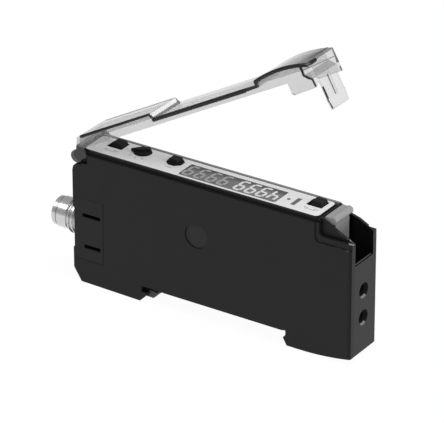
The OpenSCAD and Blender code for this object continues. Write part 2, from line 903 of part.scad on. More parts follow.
// side arm with its hinge barrel
module cover_arm_outline() {
    translate([pivot_x, pivot_z]) circle(barrel_r);
    intersection() {
        translate([pivot_x, pivot_z]) circle(arm_r);
        translate([pivot_x, pivot_z - arm_drop]) square([arm_r, skirt_z - pivot_z + arm_drop + 0.2]);
    }
}

module cover_closed() {
    difference() {
        slab(-cov_half, cov_half) cover_outline();
        slab(-cov_in, cov_in) cover_hollow();
        box(thick_x - 1, x_r + 1, -cov_in, cov_in, 0, wall_low);
    }
    for (s = [-1, 1]) {
        slab(s < 0 ? -cov_half : cov_in, s < 0 ? -cov_in : cov_half) cover_arm_outline();
        bar_y_dir(s < 0 ? -cov_half : lug_half - 1.4, s < 0 ? 1.4 - lug_half : cov_half,
            pivot_x, pivot_z, stub_r);
    }
    // latch tab that closes the end of the lever channel, with a barb on each edge
    translate([cov_x1 - cover_t, 0, 0]) rotate([90, 0, 90]) linear_extrude(cover_t) polygon([
        [-tab_half, wall_low + e],
        [-tab_half, tab_low + 2.8],
        [-tab_half - tab_barb, tab_low + 2.5],
        [-tab_half, tab_low + 1.6],
        [-tab_half + 0.2, tab_low],
        [tab_half - 0.2, tab_low],
        [tab_half, tab_low + 1.6],
        [tab_half + tab_barb, tab_low + 2.5],
        [tab_half, tab_low + 2.8],
        [tab_half, wall_low + e]]);
    box(cov_x1 - e, cov_x1 + rib_t, -rib_half, rib_half, tab_low + 2.5, wall_low + 0.6);
}

module dust_cover() {
    color([0.8, 0.82, 0.82, 0.6])
        translate([pivot_x, 0, pivot_z]) rotate([0, -cover_open, 0]) translate([-pivot_x, 0, -pivot_z])
            cover_closed();
}

module clamp_lever() {
    color([0.3, 0.3, 0.3]) difference() {
        union() {
            slab(-web_half, web_half) {
                translate([lever_x, lever_z]) circle(hub_r);
                polygon([
                    [lever_x - 0.8, lever_z],
                    [lever_x - 0.8, bar_z0 - 0.6],
                    [bar_x0, bar_z0],
                    [roll_x, roll_z],
                    [roll_x, roll_z - roll_r + e],
                    [lever_x + 1.2, bar_z0 - 0.3],
                    [lever_x + 1.2, lever_z]]);
            }
            slab(-lever_half, lever_half) {
                polygon([
                    [bar_x0, bar_z0],
                    [bar_x0, bar_z1 - 0.3],
                    [bar_x0 + 0.3, bar_z1],
                    [roll_x, bar_z1],
                    [roll_x, roll_z - roll_r]]);
                translate([roll_x, roll_z]) circle(roll_r);
            }
            slab(-1.6, 1.6) translate([lever_x, lever_z - lobe_off]) circle(lobe_r);
        }
        bar_y_dir(-cav, cav, lever_x, lever_z, pin_r + fit);
    }
}

// shoe that presses both fibres down when the lever is locked
module clamp_shoe() {
    color([0.2, 0.2, 0.2]) difference() {
        box(deck_x1 + slack, shoe_x1 - slack, -cav + slack, cav - slack, port_lower_z + port_r, shoe_top);
        box(deck_x1, shoe_x1, -1.5, 1.5, port_upper_z - port_r - 0.5, port_upper_z + port_r);
    }
}

module rail_clip() {
    color([0.04, 0.04, 0.04]) difference() {
        union() {
            slab(-cav + slack, cav - slack) polygon([
                [clip_rear, clip_z],
                [clip_tip - 1.2, clip_z],
                [clip_tip, clip_z - 0.35],
                [clip_tip, clip_z - 0.9],
                [clip_tip - 0.8, -foot_h + 0.3],
                [clip_rear, -foot_h + 0.3]]);
            box(clip_rear + 0.2, slot_x - 2.5, -cav - 0.4, cav + 0.4, tongue_z0, tongue_z1);
        }
        box(clip_rear + 1.2, clip_rear + 2.8, -1.3, 1.3, -foot_h - 1, 0);
    }
}

housing_case();
side_panel();
connector_end_cap();
top_plate();
display_window();
display_left();
display_right();
display_board();
main_board();
optics_board();
processor_chip();
capacitor();
board_header();
terminal_block();
lead_wires();
connector_shell();
connector_insert();
connector_pins();
connector_nut();
connector_seal();
power_lamp();
output_lamp();
output_switch();
selector_switch();
set_switch();
mode_switch();
optics_block();
emitter();
receiver();
lever_pin();
clip_spring();
dust_cover();
clamp_lever();
clamp_shoe();
rail_clip();
output_knob();
selector_knob();
set_button();
mode_knob();
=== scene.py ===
"""Looks of a rail mounted fibre optic sensor amplifier with its clear dust cover open."""
import json
import math

import bmesh
import bpy
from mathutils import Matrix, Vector


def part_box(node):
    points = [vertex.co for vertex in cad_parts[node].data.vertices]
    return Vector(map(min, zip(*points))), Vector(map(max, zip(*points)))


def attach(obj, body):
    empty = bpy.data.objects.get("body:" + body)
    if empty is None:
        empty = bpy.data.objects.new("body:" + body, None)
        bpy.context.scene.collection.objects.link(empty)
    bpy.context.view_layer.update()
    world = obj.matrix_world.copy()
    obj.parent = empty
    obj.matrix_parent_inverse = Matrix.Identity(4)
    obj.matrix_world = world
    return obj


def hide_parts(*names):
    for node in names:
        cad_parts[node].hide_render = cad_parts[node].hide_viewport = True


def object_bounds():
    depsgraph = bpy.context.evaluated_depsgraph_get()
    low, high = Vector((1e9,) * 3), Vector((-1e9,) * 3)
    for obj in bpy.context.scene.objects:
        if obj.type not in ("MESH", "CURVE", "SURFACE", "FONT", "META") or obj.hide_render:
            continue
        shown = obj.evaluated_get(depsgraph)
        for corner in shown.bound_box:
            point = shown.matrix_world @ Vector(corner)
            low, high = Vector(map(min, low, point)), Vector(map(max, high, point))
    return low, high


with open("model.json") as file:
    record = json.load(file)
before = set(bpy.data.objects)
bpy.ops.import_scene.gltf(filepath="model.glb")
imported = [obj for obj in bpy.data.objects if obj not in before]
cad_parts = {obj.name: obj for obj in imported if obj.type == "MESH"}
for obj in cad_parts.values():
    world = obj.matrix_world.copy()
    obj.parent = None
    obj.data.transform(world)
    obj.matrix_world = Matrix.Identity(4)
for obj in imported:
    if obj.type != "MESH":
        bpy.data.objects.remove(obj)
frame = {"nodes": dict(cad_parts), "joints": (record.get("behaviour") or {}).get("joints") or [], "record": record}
cad_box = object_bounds()

MM = 0.001
nodes = frame["nodes"]
joints = {joint["name"]: joint for joint in frame["joints"]}
mounts = {mount["name"]: mount for mount in frame["record"]["mounts"]}


def millimetres(place):
    return [value / MM for value in place]


def box(node):
    """A node's lowest and highest corners at rest, in millimetres."""
    return [Vector(millimetres(corner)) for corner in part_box(node)]


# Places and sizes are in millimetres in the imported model's frame, unless a comment says otherwise.
# The cover's hinge line, and how far the cover stands open at rest
HINGE_X, _, HINGE_Z = millimetres(joints["cover_hinge"]["pos_m"])
COVER_OPEN = -math.radians(joints["cover_hinge"]["range_deg"][0])
# The body's fibre end, the end cap, the silver plate and the display window
FIBRE_END = box("housing_case")[1].x
CAP_LOW, CAP_HIGH = box("connector_end_cap")
PLATE_LOW, PLATE_HIGH = box("top_plate")
WINDOW_LOW, WINDOW_HIGH = box("display_window")


class Tone:
    """An output socket that takes part in Python arithmetic by adding Math nodes."""

    def __init__(self, finish, socket):
        self.finish = finish
        self.socket = socket

    def math(self, operation, first, second):
        return self.finish.node("ShaderNodeMath", {"operation": operation}, {0: first, 1: second})

    def __add__(self, other):
        return self.math("ADD", self, other)

    def __radd__(self, other):
        return self.math("ADD", other, self)

    def __sub__(self, other):
        return self.math("SUBTRACT", self, other)

    def __rsub__(self, other):
        return self.math("SUBTRACT", other, self)

    def __mul__(self, other):
        return self.math("MULTIPLY", self, other)

    def __rmul__(self, other):
        return self.math("MULTIPLY", other, self)

    def __gt__(self, other):
        return self.math("GREATER_THAN", self, other)

    def __lt__(self, other):
        return self.math("LESS_THAN", self, other)

    def __abs__(self):
        return self.math("ABSOLUTE", self, 0.0)


class Finish:
    """One material and the nodes that paint it."""

    def __init__(self, name, **constants):
        self.material = bpy.data.materials.new(name)
        self.material.use_nodes = True
        self.tree = self.material.node_tree
        self.surface = self.tree.nodes["Principled BSDF"]
        self.paint(**constants)

    def node(self, kind, settings=None, sockets=None, output=0):
        made = self.tree.nodes.new(kind)
        for name, value in (settings or {}).items():
            setattr(made, name, value)
        for name, value in (sockets or {}).items():
            self.feed(made.inputs[name], value)
        return Tone(self, made.outputs[output])

    def feed(self, socket, value):
        """Links a tone to a socket, or sets the socket to a plain value."""
        if isinstance(value, Tone):
            self.tree.links.new(value.socket, socket)
        else:
            socket.default_value = value

    def paint(self, **sockets):
        """Feeds the surface's sockets, named with an underscore for each space."""
        for name, value in sockets.items():
            self.feed(self.surface.inputs[name.replace("_", " ")], value)

    def place(self):
        return self.node("ShaderNodeTexCoord", output="Object")

    def axis(self, letter):
        """The surface point's own x, y or z in millimetres."""
        return self.node("ShaderNodeSeparateXYZ", {}, {0: self.place()}, letter) * (1.0 / MM)

    def facing(self, letter):
        """How far the surface faces along x, y or z, from -1 to 1."""
        normal = self.node("ShaderNodeTexCoord", output="Normal")
        return self.node("ShaderNodeSeparateXYZ", {}, {0: normal}, letter)

    def stretched(self, *scale):
        """The surface point with each axis scaled, for a pattern that is drawn out."""
        return self.node("ShaderNodeMapping", {}, {"Vector": self.place(), "Scale": scale})

    def noise(self, scale, detail=2.0, rough=0.5, where=None):
        return self.node("ShaderNodeTexNoise", {}, {
            "Vector": where or self.place(), "Scale": scale, "Detail": detail, "Roughness": rough})

    def mix(self, amount, first, second):
        """Colour between two others: a Mix node takes them at sockets 6 and 7, and gives output 2."""
        return self.node("ShaderNodeMix", {"data_type": "RGBA"}, {0: amount, 6: first, 7: second}, 2)

    def ramp(self, value, low, high):
        """Zero below low, one above high and a straight line between."""
        return self.node("ShaderNodeMapRange", {}, {0: value, 1: low, 2: high, 3: 0.0, 4: 1.0})

    def bump(self, height, strength, distance):
        sockets = {"Strength": strength, "Distance": distance, "Height": height}
        return self.node("ShaderNodeBump", {}, sockets, "Normal")


def grey(level):
    return (level, level, level, 1.0)


def colour(red, green, blue):
    return (red, green, blue, 1.0)


# Moulding grain: how fine it is, and how deep in metres
GRAIN_SCALE = 5200.0
GRAIN_DEPTH = 0.00004
# How squarely a face has to look along an axis to count as facing that way
FACING = 0.5
FACING_SQUARE = 0.9
# Tone of the gaps between mouldings, also used as painted shade on the front panel's fibre end and flap recess
SEAM_AND_SHADE = grey(0.002)


def moulding(name, dark, light, rough, grain=0.10, level=0.35):
    """Moulded plastic with fine grain and slow changes of tone: its finish, tone and roughness."""
    f = Finish(name, Specular_IOR_Level=level)
    slow = f.noise(scale=90.0, detail=3.0)
    fine = f.noise(GRAIN_SCALE)
    tone = f.mix(slow, grey(dark), grey(light))
    roughness = rough + 0.10 * fine + 0.06 * slow
    f.paint(Base_Color=tone, Roughness=roughness, Normal=f.bump(fine, grain, GRAIN_DEPTH))
    return f, tone, roughness


def black_moulding(name, dark, light):
    """The body's black plastic, whose tone and roughness each piece then marks."""
    return moulding(name, dark, light, rough=0.38, level=0.20)


def plain_moulding(name, **tones):
    return moulding(name, **tones)[0].material


# Painted shade in the two fibre ports: how far it goes past their middles, its depth and half its width
PORT_UPPER_Z = millimetres(mounts["fibre_port_upper"]["pos_m"])[2]
PORT_LOWER_Z = millimetres(mounts["fibre_port_lower"]["pos_m"])[2]
PORT_MARGIN = 2.7
PORTS_Z = (PORT_UPPER_Z + PORT_LOWER_Z) / 2
PORTS_RISE = (PORT_UPPER_Z - PORT_LOWER_Z) / 2 + PORT_MARGIN
PORTS_DEPTH = 5.6
PORTS_HALF_WIDTH = 2.2
# Anything that faces the end less squarely than this is the inside of a port
PORT_INSIDE = 0.97
# Painted highlight on a port's lower lip: its depth and the least that it faces upwards
PORT_HIGHLIGHT_DEPTH = 0.4
PORT_HIGHLIGHT_TILT = 0.62
# Lip of the lever channel at the fibre end, given painted shade, and the painted highlight line along it
LIP_Z = 19.3
LIP_TOLERANCE = 0.1
LIP_DEPTH = 1.0
LIP_HIGHLIGHT_DEPTH = 0.5
LIP_HIGHLIGHT_HALF = 0.12


def case_moulding():
    """Black case: painted shade in ports and channel, painted highlights on port lips and channel lip."""
    f, plain, rough = black_moulding("case_black_moulding", dark=0.009, light=0.013)
    x, y, z = map(f.axis, "XYZ")
    ports = (x > FIBRE_END - PORTS_DEPTH) * (abs(y) < PORTS_HALF_WIDTH) * (abs(z - PORTS_Z) < PORTS_RISE)
    # Painted shade inside the ports, whose insides are also made rougher
    port_shade = ports * (f.facing("X") < PORT_INSIDE)
    # Painted highlight on each port's lower lip
    port_lip_highlight = port_shade * (f.facing("Z") > PORT_HIGHLIGHT_TILT) * (x > FIBRE_END - PORT_HIGHLIGHT_DEPTH)
    # Painted shade on faces that look to the front from the back half: the lever channel's inner walls
    inner = (f.facing("Y") < -FACING) * (y > 0.0)
    # Painted shade on the top of the channel's lip, with a painted highlight line along it
    level_with_lip = (f.facing("Z") > FACING_SQUARE) * (abs(z - LIP_Z) < LIP_TOLERANCE)
    lip = level_with_lip * (x > FIBRE_END - LIP_DEPTH)
    lip_highlight_line = lip * (abs(x - (FIBRE_END - LIP_HIGHLIGHT_DEPTH)) < LIP_HIGHLIGHT_HALF)
    # Painted shade in the ports, on the channel's lip and on its inner walls
    dark = f.mix(port_shade + lip + inner, plain, grey(0.001))
    # Painted highlights on the ports' lower lips and along the channel's lip
    light = f.mix(port_lip_highlight, grey(0.07), grey(0.13))
    f.paint(Base_Color=f.mix(port_lip_highlight + lip_highlight_line, dark, light), Roughness=rough + 0.5 * port_shade)
    return f.material


# Round mark on the front panel
MARK_X = -5.0
MARK_Z = 16.1
MARK_R = 2.8
# Recess behind the cover's flap and the strip at the fibre end, both given painted shade, and the stretch of the
# rim there with wear and painted highlights
RECESS_X = 24.0
RECESS_Y = -4.5
MARGIN_DEPTH = 0.8
WEAR_AND_HIGHLIGHT_X = (29.0, 33.0)
WEAR_AND_HIGHLIGHT_TILT = 0.3
# Levels of noise between which a patch of wear and painted highlight sets in
WEAR_AND_HIGHLIGHT_PATCH = (0.50, 0.62)


def panel_moulding():
    """Front panel: a paler round mark, painted shade in its flap recess and at its fibre end, wear and painted
    highlights on its rim.
    """
    # Darker than the case's black: painted shade on the front face
    f, plain, _ = black_moulding("panel_black_moulding", dark=0.0045, light=0.0075)
    x, y, z = map(f.axis, "XYZ")
    recess = (x > RECESS_X) * (y > RECESS_Y)
    # Painted shade on front faces at the fibre end and in the flap recess
    margin_shade = (f.facing("Y") < -FACING) * ((x > FIBRE_END - MARGIN_DEPTH) + recess)
    patches = f.ramp(f.noise(scale=900.0), *WEAR_AND_HIGHLIGHT_PATCH)
    # Wear and painted highlights in patches on upward faces near the fibre end
    wear_and_highlight = (f.facing("Z") > WEAR_AND_HIGHLIGHT_TILT) * f.ramp(x, *WEAR_AND_HIGHLIGHT_X) * patches
    across = x - MARK_X
    up = z - MARK_Z
    mark = (across * across + up * up) < MARK_R * MARK_R
    marked = f.mix(mark, f.mix(margin_shade, plain, SEAM_AND_SHADE), grey(0.013))
    f.paint(Base_Color=f.mix(wear_and_highlight, marked, grey(0.16)))
    return f.material


# Widths of the end cap's seams along its inner end and its lower edge
CAP_END_SEAM = 0.3
CAP_LOW_SEAM = 0.25


def cap_moulding():
    """End cap with dark seams along its inner and lower edges."""
    f, plain, _ = black_moulding("cap_black_moulding", dark=0.0065, light=0.0095)
    seam = (f.axis("X") > CAP_HIGH.x - CAP_END_SEAM) + (f.axis("Z") < CAP_LOW.z + CAP_LOW_SEAM)
    f.paint(Base_Color=f.mix(seam, plain, SEAM_AND_SHADE))
    return f.material


# Dark line along the window's front: its distance from the window, half its width and what it stops short
FRAME_LINE_GAP = 0.15
FRAME_LINE_HALF = 0.25
FRAME_LINE_SHORT = 0.2


def silver_plate():
    """Silver printed plate with black cut edges and a dark line along the front of the display window."""
    f = Finish("plate_silver_print", Specular_IOR_Level=0.4, Metallic=0.1)
    brushed = f.noise(scale=1.0, detail=3.0, rough=0.6, where=f.stretched(40.0, 4000.0, 4000.0))
    slow = f.noise(scale=120.0)
    silver = f.mix(0.6 * slow + 0.4 * brushed, grey(0.47), grey(0.61))
    along = abs(f.axis("X") - (WINDOW_LOW.x + WINDOW_HIGH.x) / 2)
    reach = (WINDOW_HIGH.x - WINDOW_LOW.x) / 2 - FRAME_LINE_SHORT
    away = abs(f.axis("Y") - (WINDOW_LOW.y - FRAME_LINE_GAP))
    frame_line = (along < reach) * (away < FRAME_LINE_HALF)
    face = f.mix(frame_line, silver, grey(0.11))
    f.paint(
        Base_Color=f.mix(f.facing("Z") > FACING, grey(0.01), face),
        Roughness=0.36 + 0.14 * brushed,
        Normal=f.bump(brushed, 0.06, 0.00003))
    return f.material


def turned_metal(name, dark, light, rough):
    """Metal with fine rings across x, as turning leaves them."""
    f = Finish(name, Metallic=1.0)
    rings = f.noise(scale=1.0, where=f.stretched(9000.0, 300.0, 300.0))
    slow = f.noise(scale=300.0, detail=3.0)
    f.paint(
        Base_Color=f.mix(slow, grey(dark), grey(light)),
        Roughness=rough + 0.12 * rings,
        Normal=f.bump(rings, 0.08, 0.00002))
    return f.material


def smoked_window():
    f = Finish("window_smoked_sheet", IOR=1.49, Specular_IOR_Level=0.5)
    slow = f.noise(scale=200.0)
    f.paint(
        Base_Color=f.mix(slow, grey(0.17), grey(0.21)),
        Alpha=0.34 + 0.06 * slow,
        Roughness=0.10 + 0.10 * slow)
    return f.material


def lit_segment(name, level):
    """Segment of a digit that glows a little unevenly."""
    f = Finish(name, Roughness=0.5, Emission_Strength=1.0)
    spread = f.noise(scale=900.0)
    f.paint(
        Base_Color=f.mix(spread, grey(0.2), grey(0.25)),
        Emission_Color=f.mix(spread, grey(0.85 * level), grey(level)))
    return f.material


def board_green():
    f = Finish("board_solder_mask", Specular_IOR_Level=0.5)
    weave = f.noise(scale=2500.0)
    slow = f.noise(scale=150.0, detail=3.0)
    f.paint(
        Base_Color=f.mix(slow, colour(0.012, 0.085, 0.035), colour(0.02, 0.14, 0.06)),
        Roughness=0.30 + 0.15 * weave,
        Normal=f.bump(weave, 0.08, 0.00004))
    return f.material


def tinted(name, dark, light, rough, metallic=0.0):
    """Plain finish that drifts slowly between two colours."""
    f = Finish(name, Metallic=metallic)
    slow = f.noise(scale=400.0)
    f.paint(Base_Color=f.mix(slow, dark, light), Roughness=rough + 0.1 * slow)
    return f.material


# Height over which the lever's painted shade fades from its dark foot to its lighter top
LEVER_SHADE_FADE = (24.0, 28.6)


def lever_moulding():
    """Grey clamp lever with painted shade, darker down in its channel."""
    f = Finish("lever_grey_moulding", Specular_IOR_Level=0.35)
    slow = f.noise(scale=150.0, detail=3.0)
    fine = f.noise(GRAIN_SCALE)
    height = f.ramp(f.axis("Z"), *LEVER_SHADE_FADE)
    f.paint(
        Base_Color=f.mix(height + 0.3 * slow, grey(0.08), grey(0.185)),
        Roughness=0.34 + 0.10 * fine,
        Normal=f.bump(fine, 0.06, GRAIN_DEPTH))
    return f.material


# Where painted shade and painted highlights change the clear cover's tone as it stands open at rest: round the
# hinge line, then along x.
# A tilt is the least that a face looks along x or z to count
BARREL_R = 2.7
STEP_X = -16.0
STEP_HALF = 3.0
STEP_TILT = 0.7
END_WALL_X = -30.0
ARCH_FADE = (-2.0, 14.0)
TAIL_FADE = (13.0, 22.0)
CROWN_TILT = 0.6
# Least height of the tail of painted shade over the hinge line, square to the sheet
TAIL_HEIGHT = 2.5
NOSE_X = 15.0


def clear_sheet():
    """Clear cover with painted shade in its hinge barrel, end wall and arched end, and painted highlights on its
    step and ends.
    """
    f = Finish("cover_clear_sheet", IOR=1.49, Specular_IOR_Level=0.5)
    slow = f.noise(scale=70.0, detail=3.0)
    fine = f.noise(scale=1500.0)
    x = f.axis("X")
    across = x - HINGE_X
    up = f.axis("Z") - HINGE_Z
    height = math.cos(COVER_OPEN) * up - math.sin(COVER_OPEN) * across
    # Painted shade: the hinge barrel nearly black and more opaque
    barrel = (across * across + up * up) < BARREL_R * BARREL_R
    # Painted highlight: the step's face pale
    step = (f.facing("X") > STEP_TILT) * (abs(x - STEP_X) < STEP_HALF)
    # Painted shade on the end wall
    end_wall = (f.facing("X") > FACING_SQUARE) * (x < END_WALL_X)
    crown = f.facing("Z") > CROWN_TILT
    # Painted shade growing towards the arched end on the upper faces, and thicker still on its tail
    arch = f.ramp(x, *ARCH_FADE) * crown
    tail = f.ramp(x, *TAIL_FADE) * crown * (height > TAIL_HEIGHT)
    # Painted highlight on faces that look along x past the middle
    nose = (f.facing("X") > CROWN_TILT) * (x > NOSE_X)
    sheet = f.mix(nose, f.mix(slow, grey(0.20), grey(0.26)), grey(0.31))
    shaded = f.mix(arch + end_wall, sheet, grey(0.07))
    painted_light_alpha = 0.50 * barrel + 0.34 * arch + 0.22 * tail + 0.25 * step + 0.10 * end_wall
    f.paint(
        Base_Color=f.mix(barrel, f.mix(step, shaded, grey(0.8)), grey(0.03)),
        Alpha=0.26 + 0.06 * slow + painted_light_alpha,
        Roughness=0.08 + 0.08 * fine)
    return f.material


def cover_edge(name, level, alpha):
    """Tone of the lines of painted shade that the clear cover's edges show."""
    f = Finish(name, IOR=1.49, Specular_IOR_Level=0.3)
    slow = f.noise(scale=500.0)
    f.paint(
        Base_Color=f.mix(slow, grey(0.7 * level), grey(1.3 * level)),
        Alpha=alpha + 0.1 * slow,
        Roughness=0.20 + 0.1 * slow)
    return f.material


nickel = turned_metal("nickel_plate", dark=0.55, light=0.68, rough=0.16)
steel = turned_metal("steel_ground", dark=0.42, light=0.52, rough=0.28)
green = board_green()
knob_black = plain_moulding(
    "knob_black_moulding", dark=0.003, light=0.005, rough=0.42, grain=0.05, level=0.16)
insert_black = plain_moulding("insert_black_moulding", dark=0.010, light=0.016, rough=0.45)
switch_black = plain_moulding("switch_black_moulding", dark=0.012, light=0.018, rough=0.45)

FINISHES = {
    "housing_case": case_moulding(),
    "side_panel": panel_moulding(),
    "connector_end_cap": cap_moulding(),
    "top_plate": silver_plate(),
    "display_window": smoked_window(),
    "display_left": tinted("digit_block_left", grey(0.13), grey(0.17), rough=0.4),
    "display_right": tinted("digit_block_right", grey(0.13), grey(0.17), rough=0.4),
    "display_board": green,
    "main_board": green,
    "optics_board": green,
    "processor_chip": insert_black,
    "capacitor": steel,
    "board_header": insert_black,
    "terminal_block": tinted("terminal_green", colour(0.03, 0.2, 0.08), colour(0.05, 0.28, 0.11), rough=0.4),
    "lead_wires": tinted("wire_skin", colour(0.2, 0.07, 0.03), colour(0.28, 0.1, 0.05), rough=0.4),
    "connector_shell": nickel,
    "connector_insert": insert_black,
    "connector_pins": tinted(
        "pin_gold_plate", colour(0.62, 0.44, 0.14), colour(0.72, 0.52, 0.2), rough=0.2, metallic=1.0),
    "connector_nut": nickel,
    "connector_seal": insert_black,
    "power_lamp": tinted("lamp_round", grey(0.06), grey(0.08), rough=0.25),
    "output_lamp": tinted("lamp_bar", grey(0.06), grey(0.09), rough=0.25),
    "output_switch": switch_black,
    "selector_switch": switch_black,
    "set_switch": switch_black,
    "mode_switch": switch_black,
    "optics_block": switch_black,
    "emitter": tinted("emitter_lens", colour(0.4, 0.05, 0.04), colour(0.5, 0.07, 0.05), rough=0.15),
    "receiver": tinted("receiver_lens", colour(0.05, 0.05, 0.08), colour(0.07, 0.07, 0.1), rough=0.15),
    "lever_pin": steel,
    "clip_spring": steel,
    "dust_cover": clear_sheet(),
    "clamp_lever": lever_moulding(),
    "clamp_shoe": plain_moulding("shoe_grey_moulding", dark=0.07, light=0.10, rough=0.5),
    "rail_clip": plain_moulding("clip_dark_moulding", dark=0.05, light=0.09, rough=0.40),
    "output_knob": knob_black,
    "selector_knob": knob_black,
    "set_button": knob_black,
    "mode_knob": knob_black,
}
for node, material in FINISHES.items():
    materials = nodes[node].data.materials
    materials.clear()
    materials.append(material)


def show(name, data):
    """New object in the scene that holds a mesh, a curve, a lamp or a camera."""
    made = bpy.data.objects.new(name, data)
    bpy.context.scene.collection.objects.link(made)
    return made


def piece(name, build, material, body="housing"):
    """New mesh piece that a function fills in, with its finish and the body it rides on."""
    mesh = bpy.data.meshes.new(name)
    bm = bmesh.new()
    build(bm)
    bmesh.ops.recalc_face_normals(bm, faces=bm.faces)
    bm.to_mesh(mesh)
    bm.free()
    mesh.materials.append(material)
    made = show(name, mesh)
    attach(made, body)
    return made


def band(bm, one, two):
    """Faces between two rings that have as many points each."""
    for i in range(len(one)):
        j = (i + 1) % len(one)
        bm.faces.new((one[i], one[j], two[j], two[i]))


def prism(bm, outline, low, high):
    """Flat shape from an outline in x and y, from one height to another."""
    lower, upper = [[bm.verts.new((x * MM, y * MM, z * MM)) for x, y in outline] for z in (low, high)]
    bm.faces.new(lower)
    bm.faces.new(upper)
    band(bm, lower, upper)


# Lit segments of each figure: a top, b upper right, c lower right, d bottom, f upper left, g middle
LIT = {"4": "bcfg", "9": "abcdfg"}
# Size of a digit between its segments' middle lines, half a segment's width and the gap at its ends
DIGIT_W = 1.68
DIGIT_H = 3.97
SEGMENT = 0.26
SEGMENT_GAP = 0.06
# How far a digit leans for each millimetre of its height
SLANT = 0.12
# The digits lie just under the window's face, a little behind its middle
DIGIT_BEHIND = 0.03
DIGIT_UNDER = 0.03
DIGIT_THICK = 0.08
DIGIT_Y = (WINDOW_LOW.y + WINDOW_HIGH.y) / 2 + DIGIT_BEHIND
DIGIT_TOP = WINDOW_HIGH.z - DIGIT_UNDER
DIGIT_LOW = DIGIT_TOP - DIGIT_THICK
# Middle of each row of digits and the spacing in it
RIGHT_ROW_X = 7.78
RIGHT_PITCH = 2.76
LEFT_ROW_X = -4.9
LEFT_PITCH = 2.9


def segment_outline(letter):
    """Six-sided outline of one segment about the digit's middle, reader's right and up positive."""
    w = DIGIT_W / 2
    h = DIGIT_H / 2
    ends = {
        "a": ((-w, h), (w, h)),
        "b": ((w, 0), (w, h)),
        "c": ((w, -h), (w, 0)),
        "d": ((-w, -h), (w, -h)),
        "f": ((-w, 0), (-w, h)),
        "g": ((-w, 0), (w, 0)),
    }
    start, end = (Vector(point) for point in ends[letter])
    along = (end - start).normalized()
    across = Vector((-along.y, along.x)) * SEGMENT
    start = start + along * SEGMENT_GAP
    end = end - along * SEGMENT_GAP
    first = start + along * SEGMENT
    last = end - along * SEGMENT
    return [start, first + across, last + across, end, last - across, first - across]


def digits(bm, figures, row_x, pitch):
    """Row of digits that is read from the back, so its tops point to the front."""
    for i, figure in enumerate(figures):
        middle = row_x + ((len(figures) - 1) / 2 - i) * pitch
        for letter in LIT[figure]:
            outline = [(middle - u - SLANT * v, DIGIT_Y - v) for u, v in segment_outline(letter)]
            prism(bm, outline, DIGIT_LOW, DIGIT_TOP)


piece(
    "digits_right",
    lambda bm: digits(bm, "4999", RIGHT_ROW_X, RIGHT_PITCH),
    lit_segment("segment_bright", 0.70))
piece(
    "digits_left",
    lambda bm: digits(bm, "9999", LEFT_ROW_X, LEFT_PITCH),
    lit_segment("segment_dim", 0.17))

# Low rim behind the plate: its distance and width, and how far it passes the plate's end, top and foot
RIM_GAP = 0.1
RIM_WIDTH = 0.65
RIM_PAST_END = 0.6
RIM_PAST_TOP = 0.1
RIM_PAST_FOOT = 0.05


def deck_rim(bm):
    """Low grey rim along the back of the plate."""
    start = PLATE_LOW.x
    end = PLATE_HIGH.x + RIM_PAST_END
    front = PLATE_HIGH.y + RIM_GAP
    back = front + RIM_WIDTH
    outline = [(start, front), (end, front), (end, back), (start, back)]
    prism(bm, outline, PLATE_LOW.z - RIM_PAST_FOOT, PLATE_HIGH.z + RIM_PAST_TOP)


rim = piece("deck_rim", deck_rim, tinted("rim_grey", grey(0.12), grey(0.16), rough=0.45))

# A printed dash goes this far into the plate and stands this far out of it
DASH_SUNK = 0.01
DASH_PROUD = 0.008
# Steps in the round end of a dash
DASH_STEPS = 6
# Marks of a slide knob: two dashes at the ends of its slot and a thin line before them
SLIDE_DASH_Y = -1.65
SLIDE_DASH_OFFSET = 1.2
SLIDE_LINE_Y = -2.15
# Marks of the round selector: turn in degrees, distance from its middle along x, and y
SELECTOR_X = -22.6
SELECTOR_DASHES = [(60, -1.6, -1.55), (90, 0.0, -1.95), (120, 1.6, -1.55)]
# Mark of the eight-sided button
BUTTON_X = -14.2
BUTTON_DASH_Y = -1.8


def dash(bm, x, y, length, width, turn=0.0):
    """Printed dash with rounded ends on the plate's face."""
    c = math.cos(math.radians(turn))
    s = math.sin(math.radians(turn))
    outline = []
    for side in (1, -1):
        for step in range(DASH_STEPS + 1):
            angle = math.pi * (step / DASH_STEPS - 0.5)
            u = side * (length / 2 - width / 2 + width / 2 * math.cos(angle))
            v = side * width / 2 * math.sin(angle)
            outline.append((x + c * u - s * v, y + s * u + c * v))
    prism(bm, outline, PLATE_HIGH.z - DASH_SUNK, PLATE_HIGH.z + DASH_PROUD)


def slide_marks(bm, knob, joint):
    """Marks of a slide knob, about the middle of its travel."""
    low, high = box(knob)
    middle = (low.x + high.x) / 2 + sum(millimetres(joints[joint]["range_m"])) / 2
    for side in (-1, 1):
        dash(bm, middle + side * SLIDE_DASH_OFFSET, SLIDE_DASH_Y, length=1.1, width=0.22)
    dash(bm, middle, SLIDE_LINE_Y, length=2.6, width=0.16)


def plate_marks(bm):
    """Short dashes that show where each knob points."""
    slide_marks(bm, "output_knob", "output_slide")
    for turn, along, y in SELECTOR_DASHES:
        dash(bm, SELECTOR_X + along, y, length=0.8, width=0.2, turn=turn)
    dash(bm, BUTTON_X, BUTTON_DASH_Y, length=1.6, width=0.22)
    slide_marks(bm, "mode_knob", "mode_slide")


piece("plate_marks", plate_marks, tinted("mark_print", grey(0.16), grey(0.22), rough=0.5))

# Connector ring: its axis, its ends and its thread
THREAD = mounts["connector_thread"]
THREAD_X, _, CONNECTOR_Z = millimetres(THREAD["pos_m"])
THREAD_R = THREAD["dims"]["r_mm"]
GROOVE_X = THREAD_X - THREAD["dims"]["length_mm"] / 2
FLANGE_X = THREAD_X + THREAD["dims"]["length_mm"] / 2
TIP_X = box("connector_shell")[0].x
TAIL_X = box("connector_shell")[1].x
THREAD_PITCH = 1.0
THREAD_DEPTH = 0.5
